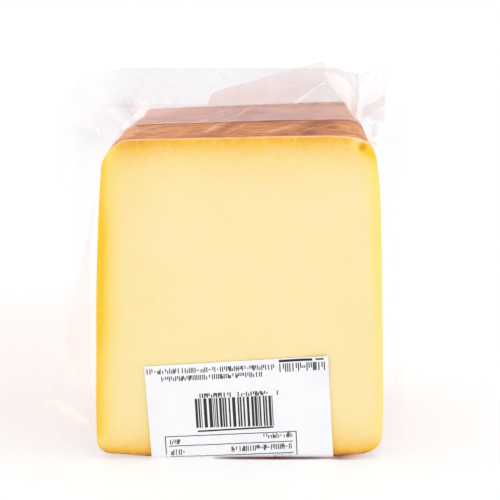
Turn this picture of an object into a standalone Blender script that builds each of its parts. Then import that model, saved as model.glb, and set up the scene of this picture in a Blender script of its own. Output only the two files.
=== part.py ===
"""A block of smoked cheddar, vacuum packed in a clear bag and standing on its side.

The bag and its contents are one closed solid: the block with the film drawn tight round it,
and the flat margin where the two sheets of film meet, which stands out from the left side,
the top and the right side. The price label is a thin sheet stuck low on the front face and
folded round the bottom edge. Lengths are in metres, +Z is up, and the label faces -Y.
"""

from math import cos, exp, pi, radians, sin

import bmesh
import bpy
from mathutils import Vector, noise

# The cheese block as the film wraps it
BLOCK_HEIGHT = 0.1031
BLOCK_DEPTH = 0.070
# Height, then how far the left and the right side stand from the middle there
SIDE_PROFILE = [
    (0.000, 0.0457, 0.0452), (0.018, 0.0457, 0.0452), (0.032, 0.0452, 0.0448), (0.051, 0.0447, 0.0443),
    (0.064, 0.0441, 0.0439), (0.077, 0.0434, 0.0434), (0.087, 0.0427, 0.0429), (0.095, 0.0420, 0.0418),
    (0.1035, 0.0410, 0.0402),
]
TOP_SLOPE = 0.020           # the top rises a little towards +X
REAR_TWIST = 0.018          # and rises more at the rear
REAR_DROP = 0.0003          # the top is this much lower at the rear
SHOULDER_DROP = 0.0013      # the front right end of the top falls by this much
REAR_SHIFT = 0.0010         # the rear face sits a little towards +X
REAR_TAPER = 0.062          # the rear is this much narrower at the top
UNDERSIDE_RISE = 0.0010     # the underside lifts by this much towards its sides
FACE_CROWN = 0.0004         # the cut faces stand out by this much in the middle
EDGE_RADIUS = 0.0014        # round the cut faces
CORNER_RADII = {"bottom_left": 0.0048, "top_left": 0.0088, "top_right": 0.0070, "bottom_right": 0.0070}
SIDE_SPACING = 0.0052       # between the points of a straight side
CORNER_STEPS = 7
WALL_STATIONS = 12
WALL_RELIEF = 0.00035       # how uneven the smoked sides are
RELIEF_SIZE = 0.017

# The underside: the label lies under the front half, the folded film under the rear half
FOLD_THICKNESS = 0.0005
SEAM_Y = -0.002             # where the two sheets of film meet

# The flat margin of the bag
FILM_THICKNESS = 0.00045
MARGIN_DEPTH = 0.0035       # how far inside the block the margin starts
TENT_HALF_WIDTH = 0.0030    # the film bridges from the block's side to the margin
TENT_LENGTH = 0.0016
MARGIN_SPACING = 0.0030
MARGIN_RINGS = 8
EAR_STEPS = 13              # points round each top corner, where the margin fans out
EAR_PLEATS = 3.0            # zigzag pleats in each ear
EAR_PLEAT_DEPTH = 0.0032
MARGIN_WAVE = 0.0032
FLOOR_CLEARANCE = 0.0005

# The margin's free edge. Each guide has a place on the block's outline (its side and the share
# of the way along it), the x, y and z of the free edge there, and the y of the margin's root
MARGIN_GUIDES = [
    ("left", 0.00, -0.0478, -0.0285, 0.0006, -0.0240), ("left", 0.035, -0.0580, -0.0235, 0.0006, -0.0170),
    ("left", 0.09, -0.0688, 0.0120, 0.0012, -0.0090), ("left", 0.20, -0.0638, 0.0040, 0.0137, -0.0040),
    ("left", 0.30, -0.0594, 0.0000, 0.0236, -0.0020), ("left", 0.42, -0.0585, -0.0020, 0.0347, -0.0020),
    ("left", 0.62, -0.0582, -0.0020, 0.0554, -0.0020), ("left", 0.85, -0.0576, -0.0020, 0.0756, -0.0020),
    ("ear_left", 0.00, -0.0577, -0.0020, 0.0922, -0.0020),
    ("ear_left", 0.16, -0.0581, -0.0020, 0.0988, -0.0020),
    ("ear_left", 0.32, -0.0573, -0.0020, 0.1059, -0.0020),
    ("ear_left", 0.47, -0.0552, -0.0020, 0.1117, -0.0020),
    ("ear_left", 0.62, -0.0512, -0.0020, 0.1162, -0.0020),
    ("ear_left", 0.85, -0.0454, -0.0020, 0.1182, -0.0020),
    ("top", 0.03, -0.0377, -0.0020, 0.1191, -0.0020), ("top", 0.33, -0.0128, -0.0020, 0.1185, -0.0020),
    ("top", 0.90, 0.0288, -0.0020, 0.1185, -0.0020),
    ("ear_right", 0.08, 0.0352, -0.0020, 0.1166, -0.0020),
    ("ear_right", 0.24, 0.0385, -0.0020, 0.1178, -0.0020),
    ("ear_right", 0.47, 0.0457, -0.0020, 0.1194, -0.0020),
    ("ear_right", 0.70, 0.0478, -0.0020, 0.1085, -0.0020),
    ("ear_right", 0.85, 0.0521, -0.0020, 0.1059, -0.0020),
    ("right", 0.00, 0.0539, -0.0020, 0.0971, -0.0020), ("right", 0.10, 0.0535, -0.0020, 0.0873, -0.0020),
    ("right", 0.18, 0.0507, -0.0020, 0.0816, -0.0020), ("right", 0.33, 0.0494, -0.0020, 0.0689, -0.0020),
    ("right", 0.48, 0.0517, -0.0020, 0.0547, -0.0020), ("right", 0.58, 0.0526, -0.0020, 0.0451, -0.0020),
    ("right", 0.74, 0.0516, -0.0020, 0.0312, -0.0020), ("right", 0.88, 0.0539, -0.0030, 0.0189, -0.0020),
    ("right", 0.96, 0.0550, -0.0110, 0.0062, -0.0060), ("right", 1.00, 0.0530, -0.0210, 0.0010, -0.0150),
]

# The rear lip of the bag's mouth, which leans back behind the front lip: the share of the way
# along its root, and the x and z of its free edge there
LIP_ROOT_LEFT, LIP_ROOT_RIGHT = -0.0108, 0.0368
LIP_GUIDES = [
    (0.00, -0.0114, 0.1061), (0.07, -0.0088, 0.1115), (0.13, -0.0059, 0.1124),
    (0.78, 0.0266, 0.1213), (0.90, 0.0318, 0.1130), (1.00, 0.0362, 0.1050),
]
LIP_ROOT = 0.0004           # how far above the block's top the lips part
LIP_GAP = 0.0013            # between the two lips, past their root
LIP_LEAN = 0.0068
LIP_COLUMNS, LIP_ROWS = 20, 7

# The price label
LABEL_WIDTH = 0.0575
LABEL_TOP = 0.0328          # height of the middle of its upper edge on the front face
LABEL_UNDER = 0.0255        # how far it runs on under the block
LABEL_CENTRE_X = -0.0012
LABEL_TURN = radians(3.6)
LABEL_THICKNESS = 0.0002
LABEL_GAP = 0.0003
LABEL_COLUMNS = 12
LABEL_COARSE_STEP, LABEL_FINE_STEP = 0.0040, 0.0005


def clear_scene():
    for obj in list(bpy.data.objects):
        bpy.data.objects.remove(obj)


def make_material(name, colour, roughness, alpha=1.0):
    material = bpy.data.materials.new(name)
    material.use_nodes = True
    shader = material.node_tree.nodes["Principled BSDF"]
    shader.inputs["Base Color"].default_value = (*colour, 1.0)
    shader.inputs["Roughness"].default_value = roughness
    shader.inputs["Metallic"].default_value = 0.0
    shader.inputs["Alpha"].default_value = alpha
    return material


def smooth_step(low, high, value):
    t = min(1.0, max(0.0, (value - low) / (high - low)))
    return t * t * (3 - 2 * t)


def zigzag(turns):
    """A triangle wave between -1 and 1 that starts at 0."""
    t = (turns + 0.25) % 1.0
    return 4 * t - 1 if t < 0.5 else 3 - 4 * t


def side_reach(height, sign):
    """How far the left (-1) or the right (1) side stands from the middle at a height."""
    column = 1 if sign < 0 else 2
    for low, high in zip(SIDE_PROFILE, SIDE_PROFILE[1:]):
        if height <= high[0]:
            share = (height - low[0]) / (high[0] - low[0])
            return low[column] + (high[column] - low[column]) * share
    return SIDE_PROFILE[-1][column]


def outline(spacing, corner_steps, ear_steps):
    """Points round the block's cross-section as (x, z, outward angle, side, share along it).

    It runs clockwise seen from the front: up the left side, over the top, down the right side
    and back along the bottom.
    """
    radii = CORNER_RADII
    corners = [
        ("ear_left", -1, BLOCK_HEIGHT, radii["top_left"], pi, ear_steps),
        ("ear_right", 1, BLOCK_HEIGHT, radii["top_right"], pi / 2, ear_steps),
        ("foot_right", 1, 0.0, radii["bottom_right"], 0.0, corner_steps),
        ("foot_left", -1, 0.0, radii["bottom_left"], -pi / 2, corner_steps),
    ]
    sides = [("left", 3, 0), ("top", 0, 1), ("right", 1, 2), ("bottom", 2, 3)]

    def centre(corner):
        _, sign, height, radius, _, _ = corner
        z = height - radius if height else radius
        return sign * (side_reach(z, sign) - radius), z

    points = []
    for side, before, after in sides:
        first, last = corners[before], corners[after]
        angle = last[4]
        (x0, z0), (x1, z1) = centre(first), centre(last)
        start = Vector((x0 + first[3] * cos(angle), z0 + first[3] * sin(angle)))
        end = Vector((x1 + last[3] * cos(angle), z1 + last[3] * sin(angle)))
        steps = max(2, round((end - start).length / spacing))
        for i in range(steps):
            share = i / steps
            point = start.lerp(end, share)
            if side in ("left", "right"):
                sign = -1 if side == "left" else 1
                point.x = sign * side_reach(point.y, sign)
            points.append((point.x, point.y, angle, side, share))
        for i in range(last[5]):
            share = i / last[5]
            turned = angle - share * pi / 2
            points.append((x1 + last[3] * cos(turned), z1 + last[3] * sin(turned), turned, last[0], share))
    return points


def settle(x, y, z):
    """Gives a point of the straight block the slopes, skew and stepped underside of the real one."""
    depth_share = (y + BLOCK_DEPTH / 2) / BLOCK_DEPTH
    height_share = max(0.0, z) / BLOCK_HEIGHT
    z += height_share * (x * (TOP_SLOPE + REAR_TWIST * depth_share) - REAR_DROP * depth_share)
    z -= height_share * SHOULDER_DROP * smooth_step(0.026, 0.042, x) * (1 - depth_share)
    z += UNDERSIDE_RISE * smooth_step(0.026, 0.042, abs(x)) * max(0.0, 1 - z / 0.020)
    x = x * (1 - REAR_TAPER * depth_share * height_share) + REAR_SHIFT * depth_share
    lift = FOLD_THICKNESS * (1 - smooth_step(SEAM_Y - 0.0012, SEAM_Y, y)) * max(0.0, 1 - z / 0.010)
    return Vector((x, y, z + lift))


def relief(x, y, z):
    """Low unevenness of the smoked sides. It fades out at the underside, which stays flat."""
    bumps = noise.noise(Vector((x, y, z)) / RELIEF_SIZE)
    return WALL_RELIEF * bumps * smooth_step(0.004, 0.014, z)


def mesh_object(name, mesh_builder):
    mesh = bpy.data.meshes.new(name)
    working = bmesh.new()
    mesh_builder(working)
    bmesh.ops.triangulate(working, faces=working.faces[:], quad_method="FIXED")
    bmesh.ops.recalc_face_normals(working, faces=working.faces[:])
    working.to_mesh(mesh)
    working.free()
    return bpy.data.objects.new(name, mesh)


def bridge(working, rings, closed=True):
    """Joins rings of vertices that have the same count with quads."""
    for near, far in zip(rings, rings[1:]):
        count = len(near) if closed else len(near) - 1
        for i in range(count):
            j = (i + 1) % len(near)
            working.faces.new((near[i], near[j], far[j], far[i]))


def build_block(working):
    """The wrapped block: lofted rings from the middle of the front face round to the rear face."""
    section = outline(SIDE_SPACING, CORNER_STEPS, CORNER_STEPS)
    half = BLOCK_DEPTH / 2
    middle = (0.0, BLOCK_HEIGHT / 2)

    def ring(y, inset, shrink=1.0):
        vertices = []
        for x, z, angle, _, _ in section:
            x, z = x - inset * cos(angle), z - inset * sin(angle)
            out = relief(x, y, z) if shrink == 1.0 else 0.0
            x, z = x + out * cos(angle), z + out * sin(angle)
            x, z = middle[0] + (x - middle[0]) * shrink, middle[1] + (z - middle[1]) * shrink
            vertices.append(working.verts.new(settle(x, y, z)))
        return vertices

    def face_rings(side):
        shares = (0.25, 0.55, 0.88)
        return [ring(side * (half + FACE_CROWN * (1 - share)), EDGE_RADIUS, share) for share in shares]

    def edge_rings(side, steps=3):
        rings = []
        for i in range(steps + 1):
            turn = pi / 2 * i / steps
            rings.append(ring(side * (half - EDGE_RADIUS * (1 - cos(turn))), EDGE_RADIUS * (1 - sin(turn))))
        return rings

    flat = half - EDGE_RADIUS
    stations = [-flat + 2 * flat * i / WALL_STATIONS for i in range(1, WALL_STATIONS)]
    stations = sorted([y for y in stations if abs(y - SEAM_Y) > 0.003] + [SEAM_Y - 0.0012, SEAM_Y])
    rings = face_rings(-1) + edge_rings(-1) + [ring(y, 0.0) for y in stations]
    rings += edge_rings(1)[::-1] + face_rings(1)[::-1]
    bridge(working, rings)
    for side, last in ((-1, rings[0]), (1, rings[-1])):
        hub = working.verts.new(settle(middle[0], side * (half + FACE_CROWN), middle[1]))
        for i, vertex in enumerate(last):
            working.faces.new((vertex, last[(i + 1) % len(last)], hub))


def thin_sheet(working, rows, half_thickness, spread):
    """A closed sheet from a grid of centre points. half_thickness(row, column) may vary.

    spread holds a direction for each column, which the thick parts of the sheet widen along.
    """
    count, width = len(rows), len(rows[0])
    front, back = [], []
    for r in range(count):
        front_row, back_row = [], []
        for c in range(width):
            along = rows[r][min(c + 1, width - 1)] - rows[r][max(c - 1, 0)]
            across = rows[min(r + 1, count - 1)][c] - rows[max(r - 1, 0)][c]
            normal = along.cross(across).normalized()
            half = half_thickness(r, c)
            towards = spread[c] if normal.dot(spread[c]) > 0 else -spread[c]
            normal = normal.lerp(towards, 1 - FILM_THICKNESS / 2 / half).normalized()
            for row, sign in ((front_row, 1), (back_row, -1)):
                point = rows[r][c] + normal * half * sign
                point.z = max(point.z, FLOOR_CLEARANCE / 2)
                row.append(working.verts.new(point))
        front.append(front_row)
        back.append(back_row)
    bridge(working, front, closed=False)
    bridge(working, back, closed=False)
    for rim in (0, -1):
        bridge(working, [front[rim], back[rim]], closed=False)
    for end in (0, -1):
        bridge(working, [[row[end] for row in front], [row[end] for row in back]], closed=False)


def guided(guides, position):
    """Values of a list of (position, values) guides at a position between them."""
    for (low, first), (high, second) in zip(guides, guides[1:]):
        if position <= high:
            share = max(0.0, (position - low) / (high - low))
            return [a + (b - a) * share for a, b in zip(first, second)]
    return guides[-1][1]


def margin_wave(point, reach):
    """How far a point of the margin leaves its plane. reach is 0 at the block and 1 at the edge."""
    bumps = noise.noise(Vector((point.x, 0.3, point.z)) / 0.024)
    return MARGIN_WAVE * reach * smooth_step(0.004, 0.020, point.z) * bumps


def build_margin(working):
    """The flat margin, as a thin wavy ribbon that is thicker where it leaves the block."""
    sides = ["left", "ear_left", "top", "ear_right", "right"]
    places = [p for p in outline(MARGIN_SPACING, CORNER_STEPS, EAR_STEPS) if p[3] in sides]
    foot = CORNER_RADII["bottom_right"]
    places.append((side_reach(foot, 1), foot, places[-1][2], "right", 1.0))
    guides = [(sides.index(side) + share, values) for side, share, *values in MARGIN_GUIDES]
    reaches = [-1.0] + [(i / MARGIN_RINGS) ** 1.35 for i in range(MARGIN_RINGS + 1)]
    rows = [[] for _ in reaches]
    for x, z, angle, side, share in places:
        edge_x, edge_y, edge_z, root_y = guided(guides, sides.index(side) + share)
        root = settle(x, root_y, z)
        edge = Vector((edge_x, edge_y, edge_z))
        inward = -Vector((cos(angle), 0.0, sin(angle)))
        for row, reach in zip(rows, reaches):
            if reach < 0:
                row.append(root + inward * MARGIN_DEPTH)
                continue
            point = root.lerp(edge, reach)
            point.y += margin_wave(point, reach)
            if side.startswith("ear"):
                fade = sin(pi * share) ** 0.6
                point.y += EAR_PLEAT_DEPTH * zigzag(EAR_PLEATS * share) * fade * (0.12 + 0.88 * reach)
            row.append(point)

    def half_thickness(r, c):
        if reaches[r] < 0:
            return FILM_THICKNESS / 2 + TENT_HALF_WIDTH
        distance = (rows[r][c] - rows[1][c]).length
        return FILM_THICKNESS / 2 + TENT_HALF_WIDTH * exp(-distance / TENT_LENGTH)

    thin_sheet(working, rows, half_thickness, [Vector((0, 1, 0))] * len(places))


def build_lip(working):
    """The rear lip of the mouth: a thin sheet that parts from the margin and leans back."""
    guides = [(share, values) for share, *values in LIP_GUIDES]
    rows = []
    for row in range(LIP_ROWS + 1):
        up = row / LIP_ROWS
        points = []
        for column in range(LIP_COLUMNS + 1):
            share = column / LIP_COLUMNS
            top_x, top_z = guided(guides, share)
            root_x = LIP_ROOT_LEFT + (LIP_ROOT_RIGHT - LIP_ROOT_LEFT) * share
            root = settle(root_x, SEAM_Y, BLOCK_HEIGHT) + Vector((0, 0, LIP_ROOT))
            point = root.lerp(Vector((top_x, SEAM_Y, top_z)), up)
            lean = smooth_step(-0.1, 0.25, share) * smooth_step(-0.1, 0.3, 1 - share)
            lean *= 0.8 + 0.2 * cos(2 * pi * share * 1.6)
            point.y += margin_wave(point, (point - root).length / 0.0165)
            point.y += LIP_GAP * smooth_step(0.0, 0.3, up) + LIP_LEAN * up ** 1.3 * lean
            points.append(point)
        rows.append(points)
    thin_sheet(working, rows, lambda r, c: FILM_THICKNESS / 2, [Vector((0, 1, 0))] * (LIP_COLUMNS + 1))


def keep_largest_shell(mesh):
    """Removes the specks that a union leaves where two sheets cross at a narrow angle."""
    working = bmesh.new()
    working.from_mesh(mesh)
    unseen, shells = set(working.faces), []
    while unseen:
        shell, edge_of_search = set(), [unseen.pop()]
        while edge_of_search:
            face = edge_of_search.pop()
            shell.add(face)
            for edge in face.edges:
                for neighbour in edge.link_faces:
                    if neighbour in unseen:
                        unseen.remove(neighbour)
                        edge_of_search.append(neighbour)
        shells.append(shell)
    shells.sort(key=len)
    for shell in shells[:-1]:
        bmesh.ops.delete(working, geom=list(shell), context="FACES")
    loose = [vertex for vertex in working.verts if not vertex.link_faces]
    bmesh.ops.delete(working, geom=loose, context="VERTS")
    working.to_mesh(mesh)
    working.free()


def build_bag(collection):
    """Joins the block, the margin and the lip into one closed solid."""
    bag = mesh_object("vacuum_bag", build_block)
    collection.objects.link(bag)
    pieces = bpy.data.collections.new("joined_pieces")
    bpy.context.scene.collection.children.link(pieces)
    for name, builder in (("margin", build_margin), ("rear_lip", build_lip)):
        pieces.objects.link(mesh_object(name, builder))
    union = bag.modifiers.new("join", "BOOLEAN")
    union.operation = "UNION"
    union.operand_type = "COLLECTION"
    union.collection = pieces
    union.solver = "EXACT"
    union.use_self = True
    bpy.context.view_layer.update()
    joined = bpy.data.meshes.new_from_object(bag.evaluated_get(bpy.context.evaluated_depsgraph_get()))
    bag.modifiers.clear()
    keep_largest_shell(joined)
    bag.data = joined
    for piece in list(pieces.objects):
        bpy.data.objects.remove(piece)
    bpy.data.collections.remove(pieces)
    bag.data.materials.clear()
    bag.data.materials.append(make_material("cheese_in_clear_film", (0.96, 0.80, 0.42), 0.25))
    return bag


def wrap_label(x, drop):
    """Where a point of the flat label lies: drop is how far it hangs below the label's fold line."""
    surface = BLOCK_DEPTH / 2 + LABEL_GAP
    radius = EDGE_RADIUS + LABEL_GAP
    arc = radius * pi / 2
    fold_height = EDGE_RADIUS + FOLD_THICKNESS
    if drop <= 0:
        z = fold_height - drop
        crown = FACE_CROWN * (1 - max(abs(x) / side_reach(z, x), abs(z * 2 / BLOCK_HEIGHT - 1)))
        return Vector((x, -surface - max(0.0, crown), z)), Vector((0, -1, 0))
    if drop < arc:
        turn = drop / radius
        y = -surface + radius * (1 - cos(turn))
        return Vector((x, y, fold_height - radius * sin(turn))), Vector((0, -cos(turn), -sin(turn)))
    return Vector((x, -surface + radius + drop - arc, fold_height - radius)), Vector((0, 0, -1))


def build_label(collection):
    """The label: a flat grid, turned a little, then folded round the block's bottom edge."""
    fold_height = EDGE_RADIUS + FOLD_THICKNESS
    to_fold = LABEL_TOP - fold_height
    arc = (EDGE_RADIUS + LABEL_GAP) * pi / 2
    slant = LABEL_WIDTH / 2 * sin(LABEL_TURN)
    rows = []
    for begin, finish, step in ((0.0, to_fold - slant, LABEL_COARSE_STEP),
                                (to_fold - slant, to_fold + arc + slant, LABEL_FINE_STEP),
                                (to_fold + arc + slant, to_fold + arc + LABEL_UNDER, LABEL_COARSE_STEP)):
        count = max(1, round((finish - begin) / step))
        rows += [begin + (finish - begin) * i / count for i in range(count)]
    rows.append(to_fold + arc + LABEL_UNDER)
    working = bmesh.new()
    bmesh.ops.create_grid(working, x_segments=LABEL_COLUMNS, y_segments=len(rows) - 1, size=0.5)
    for vertex in working.verts:
        across = vertex.co.x * LABEL_WIDTH
        down = rows[round((0.5 - vertex.co.y) * (len(rows) - 1))]
        x = LABEL_CENTRE_X + across * cos(LABEL_TURN) + down * sin(LABEL_TURN)
        drop = down * cos(LABEL_TURN) - across * sin(LABEL_TURN) - to_fold
        vertex.co, _ = wrap_label(x, drop)
    mesh = bpy.data.meshes.new("price_label")
    bmesh.ops.recalc_face_normals(working, faces=working.faces[:])
    working.to_mesh(mesh)
    working.free()
    label = bpy.data.objects.new("price_label", mesh)
    collection.objects.link(label)
    thick = label.modifiers.new("paper", "SOLIDIFY")
    thick.thickness = LABEL_THICKNESS
    thick.offset = 1.0
    mesh.materials.append(make_material("label_paper", (0.93, 0.93, 0.95), 0.45))
    return label


def main():
    clear_scene()
    collection = bpy.data.collections.new("smoked_cheddar")
    bpy.context.scene.collection.children.link(collection)
    build_bag(collection)
    build_label(collection)


main()
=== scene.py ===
import math
import random

import bmesh
import bpy
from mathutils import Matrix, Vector, noise


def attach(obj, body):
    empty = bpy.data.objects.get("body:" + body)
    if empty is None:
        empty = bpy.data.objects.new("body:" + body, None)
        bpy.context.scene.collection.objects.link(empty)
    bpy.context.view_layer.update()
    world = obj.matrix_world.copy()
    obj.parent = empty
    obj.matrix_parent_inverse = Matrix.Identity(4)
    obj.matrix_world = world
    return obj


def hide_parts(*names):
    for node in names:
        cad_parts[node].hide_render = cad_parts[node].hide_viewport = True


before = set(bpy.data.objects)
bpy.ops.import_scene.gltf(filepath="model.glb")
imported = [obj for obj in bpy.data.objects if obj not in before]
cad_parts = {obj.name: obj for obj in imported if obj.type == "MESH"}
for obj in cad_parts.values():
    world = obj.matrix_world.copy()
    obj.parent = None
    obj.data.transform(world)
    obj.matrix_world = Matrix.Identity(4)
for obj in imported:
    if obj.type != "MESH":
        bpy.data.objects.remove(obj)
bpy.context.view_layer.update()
print("frame loaded:", list(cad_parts))

mm = 0.001    # the long tables below are in millimetres, all else is in metres

# The wrapped block, with the same numbers as its solid. The label looks along -Y.
block = {
    "height": 0.1031,
    "depth": 0.070,
    "halfWidth": 0.0454,
    "profile": [    # height, reach of the left side, reach of the right side
        (0.000, 0.0454, 0.0452), (0.018, 0.0454, 0.0452), (0.032, 0.0450, 0.0448), (0.051, 0.0446, 0.0443),
        (0.064, 0.0441, 0.0439), (0.077, 0.0434, 0.0434), (0.087, 0.0427, 0.0429), (0.095, 0.0420, 0.0418),
        (0.1035, 0.0410, 0.0402),
    ],
    "topSlope": 0.020,
    "rearTwist": 0.018,
    "rearDrop": 0.0003,
    "shoulderDrop": 0.0013,
    "shoulder": (0.026, 0.042),    # from here to there, out from the middle, the drop and the rise grow
    "rearShift": 0.0010,
    "rearTaper": 0.062,
    "undersideRise": 0.0010,
    "riseHeight": 0.020,
    "crown": 0.0004,
    "crownReach": 0.030,
    "edgeRadius": 0.0014,
    "corners": {(-1, 0): 0.0048, (-1, 1): 0.0088, (1, 1): 0.0059, (1, 0): 0.0070},
    "underside": 0.0004,           # the cheese stands this far off the floor, on its film
    "unevenness": [(0.00030, 0.017), (0.00007, 0.0045)],    # height and size of the broad and the fine bumps
    "seamY": -0.002,
}


def smoothStep(low, high, value):
    t = min(1.0, max(0.0, (value - low) / (high - low)))
    return t * t * (3 - 2 * t)


def mixNumbers(a, b, share):
    return a + (b - a) * share


def srgb(red, green, blue):    # 0 to 255 as seen on a screen, to the linear colour of a socket
    def linear(c):
        c /= 255
        return c / 12.92 if c <= 0.04045 else ((c + 0.055) / 1.055) ** 2.4
    return (linear(red), linear(green), linear(blue), 1.0)


def fade(distance, size, power=1.0):    # 1 at no distance, and ever less beyond the size
    return math.exp(-(distance / size) ** power)


def deselectAll():
    if bpy.context.object and bpy.context.object.mode != "OBJECT":
        bpy.ops.object.mode_set(mode="OBJECT")
    bpy.ops.object.select_all(action="DESELECT")


def makeActive(piece):
    deselectAll()
    piece.select_set(True)
    bpy.context.view_layer.objects.active = piece


def applyModifiers(piece):
    makeActive(piece)
    for modifier in list(piece.modifiers):
        bpy.ops.object.modifier_apply(modifier=modifier.name)


def selectParts(piece, kind, test):    # in edit mode
    bpy.ops.mesh.select_mode(type=kind)
    bpy.ops.mesh.select_all(action="DESELECT")
    mesh = bmesh.from_edit_mesh(piece.data)
    for part in mesh.edges if kind == "EDGE" else mesh.faces:
        if test(part):
            part.select = True
    mesh.select_flush_mode()
    bmesh.update_edit_mesh(piece.data)


def selectEdges(piece, test):    # by their two ends
    selectParts(piece, "EDGE", lambda edge: test(edge.verts[0].co, edge.verts[1].co))


def selectFaces(piece, test):    # by their middle and normal
    selectParts(piece, "FACE", lambda face: test(face.calc_center_median(), face.normal))


def moveVerts(piece, shape):    # shape(point) gives each vertex its new place
    for vert in piece.data.vertices:
        vert.co = shape(vert.co.copy())
    piece.data.update()


def paintLayers(piece, *kinds):    # numbers on the vertices, which the materials read
    for kind in kinds:
        piece.data.attributes.new(kind, "FLOAT", "POINT")
    return [piece.data.attributes[kind].data for kind in kinds]


def outwardFaces(piece):
    makeActive(piece)
    bpy.ops.object.mode_set(mode="EDIT")
    bpy.ops.mesh.select_all(action="SELECT")
    bpy.ops.mesh.normals_make_consistent(inside=False)
    bpy.ops.object.mode_set(mode="OBJECT")


def finishPiece(piece, material, sharpAngle=None):
    piece.data.materials.clear()
    piece.data.materials.append(material)
    makeActive(piece)
    if sharpAngle:
        bpy.ops.object.shade_smooth_by_angle(angle=math.radians(sharpAngle))
    else:
        bpy.ops.object.shade_smooth()
    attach(piece, "root")


def joinPieces(pieces, name):
    deselectAll()
    for piece in pieces:
        piece.select_set(True)
    bpy.context.view_layer.objects.active = pieces[0]
    bpy.ops.object.join()
    pieces[0].name = name
    return pieces[0]


class Wire:    # a socket whose value can be added, multiplied and so on
    def __init__(self, board, socket):
        self.board, self.socket = board, socket

    def calc(self, operation, *values):
        return self.board.node("ShaderNodeMath", {"operation": operation}, dict(enumerate(values)))

    def __add__(self, other): return self.calc("ADD", self, other)
    def __radd__(self, other): return self.calc("ADD", other, self)
    def __sub__(self, other): return self.calc("SUBTRACT", self, other)
    def __rsub__(self, other): return self.calc("SUBTRACT", other, self)
    def __mul__(self, other): return self.calc("MULTIPLY", self, other)
    def __rmul__(self, other): return self.calc("MULTIPLY", other, self)
    def __truediv__(self, other): return self.calc("DIVIDE", self, other)
    def __rtruediv__(self, other): return self.calc("DIVIDE", other, self)
    def __pow__(self, other): return self.calc("POWER", self, other)
    def __abs__(self): return self.calc("ABSOLUTE", self)

    def between(self, low, high, toLow=0.0, toHigh=1.0):    # eased from toLow to toHigh
        return self.board.node("ShaderNodeMapRange", {"interpolation_type": "SMOOTHSTEP"},
                               {0: self, 1: low, 2: high, 3: toLow, 4: toHigh})


class Board:    # one material's nodes
    def __init__(self, name):
        self.material = bpy.data.materials.new(name)
        self.material.use_nodes = True
        self.tree = self.material.node_tree
        self.tree.nodes.clear()
        self.out = self.tree.nodes.new("ShaderNodeOutputMaterial")

    def node(self, kind, settings=None, inputs=None, output=0):
        made = self.tree.nodes.new(kind)
        for key, value in (settings or {}).items():
            if key == "stops":
                ramp = made.color_ramp.elements
                while len(ramp) < len(value):
                    ramp.new(0.5)
                for stop, (place, colour) in zip(ramp, value):
                    stop.position, stop.color = place, colour
            else:
                setattr(made, key, value)
        for key, value in (inputs or {}).items():
            if isinstance(value, Wire):
                self.tree.links.new(value.socket, made.inputs[key])
            else:
                made.inputs[key].default_value = value
        return Wire(self, made.outputs[output])

    def axes(self, names):    # Object coordinates, one wire for each letter
        where = self.node("ShaderNodeTexCoord", output="Object")
        return [self.node("ShaderNodeSeparateXYZ", None, {0: where}, output=name) for name in names]

    def layers(self, *names):    # what was painted on the vertices
        return [self.node("ShaderNodeAttribute", {"attribute_name": name}, output="Fac") for name in names]

    def noise(self, size, detail, rough, warp=0.0, stretch=(1, 1, 1)):    # size is one feature, in metres
        where = self.node("ShaderNodeTexCoord", output="Object")
        place = self.node("ShaderNodeMapping", None, {"Vector": where, "Scale": stretch})
        return self.node("ShaderNodeTexNoise", None, {
            "Vector": place, "Scale": 1 / size, "Detail": detail, "Roughness": rough, "Distortion": warp,
        })

    def mixColour(self, share, first, second, blend="MIX"):
        return self.node("ShaderNodeMix", {"data_type": "RGBA", "blend_type": blend},
                         {0: share, 6: first, 7: second}, output=2)

    def bump(self, height, strength, distance):
        return self.node("ShaderNodeBump", None, {"Height": height, "Strength": strength, "Distance": distance})

    def finish(self, surface):
        self.tree.links.new(surface.socket, self.out.inputs["Surface"])
        return self.material


def sideReach(height, sign):
    column = 1 if sign < 0 else 2
    profile = block["profile"]
    for low, high in zip(profile, profile[1:]):
        if height <= high[0]:
            share = (height - low[0]) / (high[0] - low[0])
            return mixNumbers(low[column], high[column], share)
    return profile[-1][column]


def settle(x, y, z):    # slopes, skew and taper, as in the solid
    depthShare = (y + block["depth"] / 2) / block["depth"]
    heightShare = max(0.0, z) / block["height"]
    z += heightShare * (x * (block["topSlope"] + block["rearTwist"] * depthShare) - block["rearDrop"] * depthShare)
    z -= heightShare * block["shoulderDrop"] * smoothStep(*block["shoulder"], x) * (1 - depthShare)
    z += block["undersideRise"] * smoothStep(*block["shoulder"], abs(x)) * max(0.0, 1 - z / block["riseHeight"])
    x = x * (1 - block["rearTaper"] * depthShare * heightShare) + block["rearShift"] * depthShare
    return Vector((x, y, z))


def nearestCorner(x, z):    # of the straight box: its radius, and how far its side and its end are
    halfW, height = block["halfWidth"], block["height"]
    isTop = z > height / 2
    radius = block["corners"][(-1 if x < 0 else 1, int(isTop))]
    return radius, halfW - abs(x), height - z if isTop else z


def cornerDistance(x, z):    # how far a point of the straight box is inside its rounded outline
    radius, toSide, toEnd = nearestCorner(x, z)
    if toSide < radius and toEnd < radius:
        return radius - math.hypot(radius - toSide, radius - toEnd)
    return min(toSide, toEnd)


def sideDistance(x, z):    # the same, from the side alone, which fades into the ends round a corner
    radius, toSide, toEnd = nearestCorner(x, z)
    toSide = max(0.0, toSide)
    if toSide >= radius or toEnd >= radius:
        return toSide
    turned = math.atan2(radius - toEnd, radius - toSide) / (math.pi / 2)
    return mixNumbers(max(0.0, cornerDistance(x, z)), radius, max(0.0, turned) ** 1.5)


def crownAt(inside):    # how far a cut face bulges, this far inside its outline
    return block["crown"] * min(1.0, inside / block["crownReach"]) ** 0.8


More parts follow.
